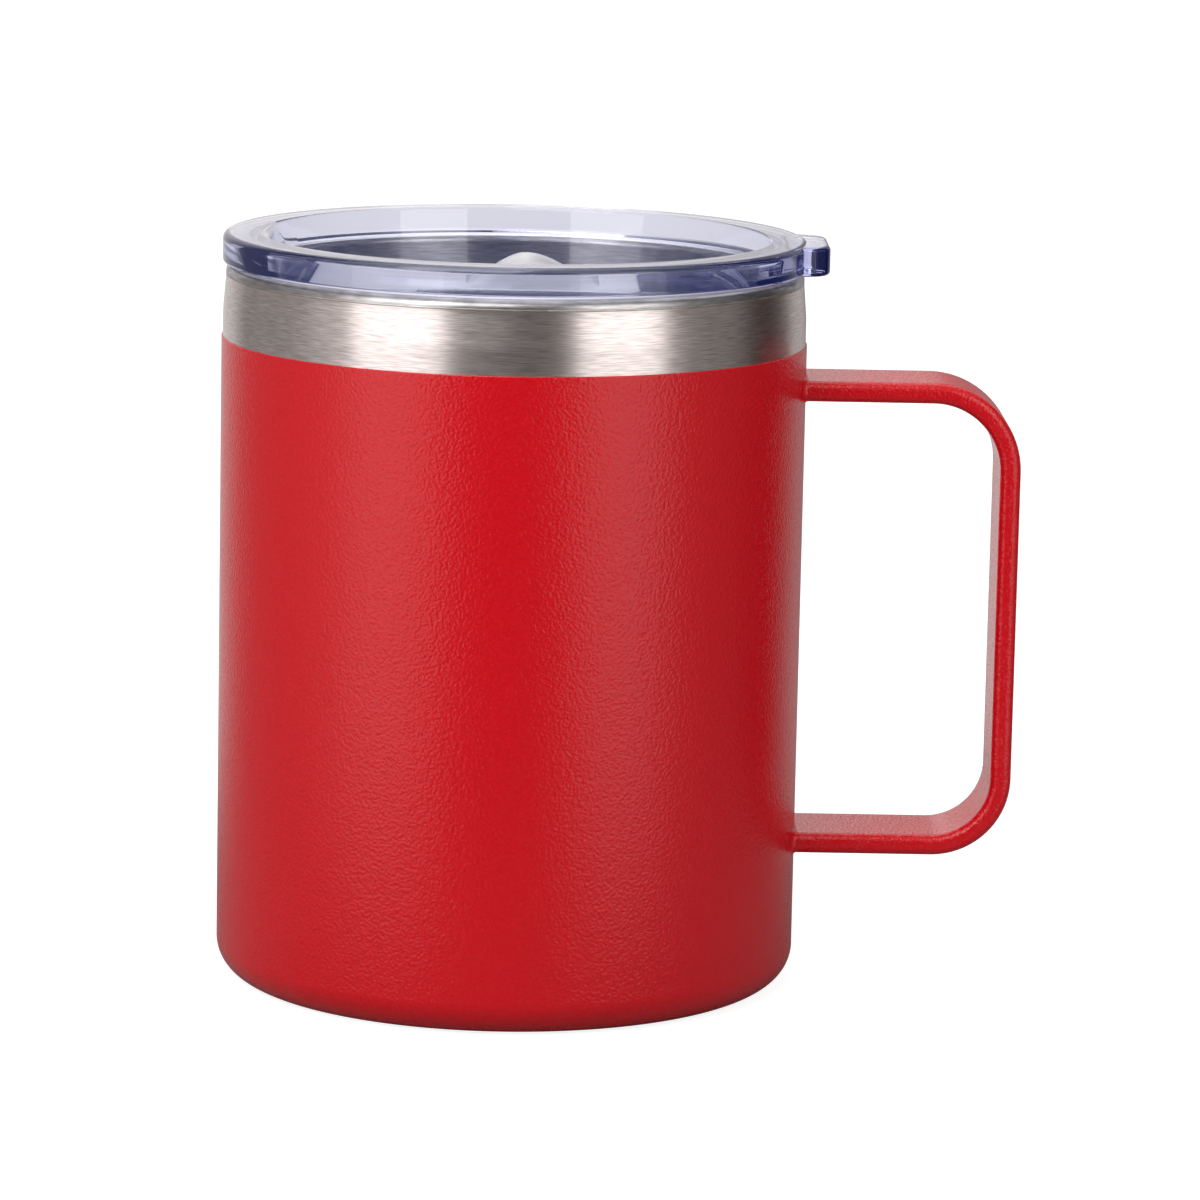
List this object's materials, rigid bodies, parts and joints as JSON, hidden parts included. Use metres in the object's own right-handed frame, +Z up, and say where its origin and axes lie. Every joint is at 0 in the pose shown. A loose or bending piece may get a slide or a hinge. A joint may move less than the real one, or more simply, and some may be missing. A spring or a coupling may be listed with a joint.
{
  "type": "insulated travel mug",
  "caption": "Vacuum-insulated steel travel mug with a powder-coated wall, a flat strap handle and a clear push-in lid with a slide closure.",
  "frame": {"origin": "on the cup's axis, in the plane of its foot ring", "axes": "+Z up along the cup's axis, +X towards the handle and the lid's pull tab, so the drinking side is -X, and +Y across"},
  "size_m": [0.1162, 0.085, 0.1092],
  "materials": {
    "brushed_steel": "stainless steel sheet, brushed around the cup",
    "weld_steel": "ground laser weld",
    "red_coat": "satin red powder coat with a fine grain",
    "copper_foil": "bright rolled copper foil",
    "getter_metal": "pressed and sintered metal powder",
    "seal_bead": "dark fused seal",
    "silicone": "translucent white silicone",
    "clear_plastic": "clear moulded plastic with a faint blue tint",
    "slider_plastic": "cloudy white translucent plastic"
  },
  "bodies": {
    "cup": {"outer_shell": "brushed_steel", "inner_liner": "brushed_steel", "mouth_weld": "weld_steel", "powder_coat": "red_coat", "radiation_foil": "copper_foil", "outer_base": "brushed_steel", "base_weld": "weld_steel", "evacuation_seal": "seal_bead", "base_cap": "brushed_steel", "getter_holder": "brushed_steel", "getter_pill": "getter_metal", "handle_strap": "red_coat", "handle_weld_top": "red_coat", "handle_weld_bottom": "red_coat"},
    "gasket": {"lid_gasket": "silicone"},
    "lid": {"lid_body": "clear_plastic"},
    "slider": {"slider": "slider_plastic", "slider_seal": "silicone", "slider_retainer": "slider_plastic"}
  },
  "joints": [
    {"name": "lid_lift", "type": "slide", "parent": "cup", "child": "gasket", "axis": [0, 0, 1], "range_m": [0, 0.08]},
    {"name": "lid_turn", "type": "hinge", "parent": "gasket", "child": "lid", "pos_m": [0, 0, 0.1049], "axis": [0, 0, 1], "continuous": true},
    {"name": "slide_open", "type": "slide", "parent": "lid", "child": "slider", "axis": [1, 0, 0], "range_m": [0, 0.013]}
  ]
}
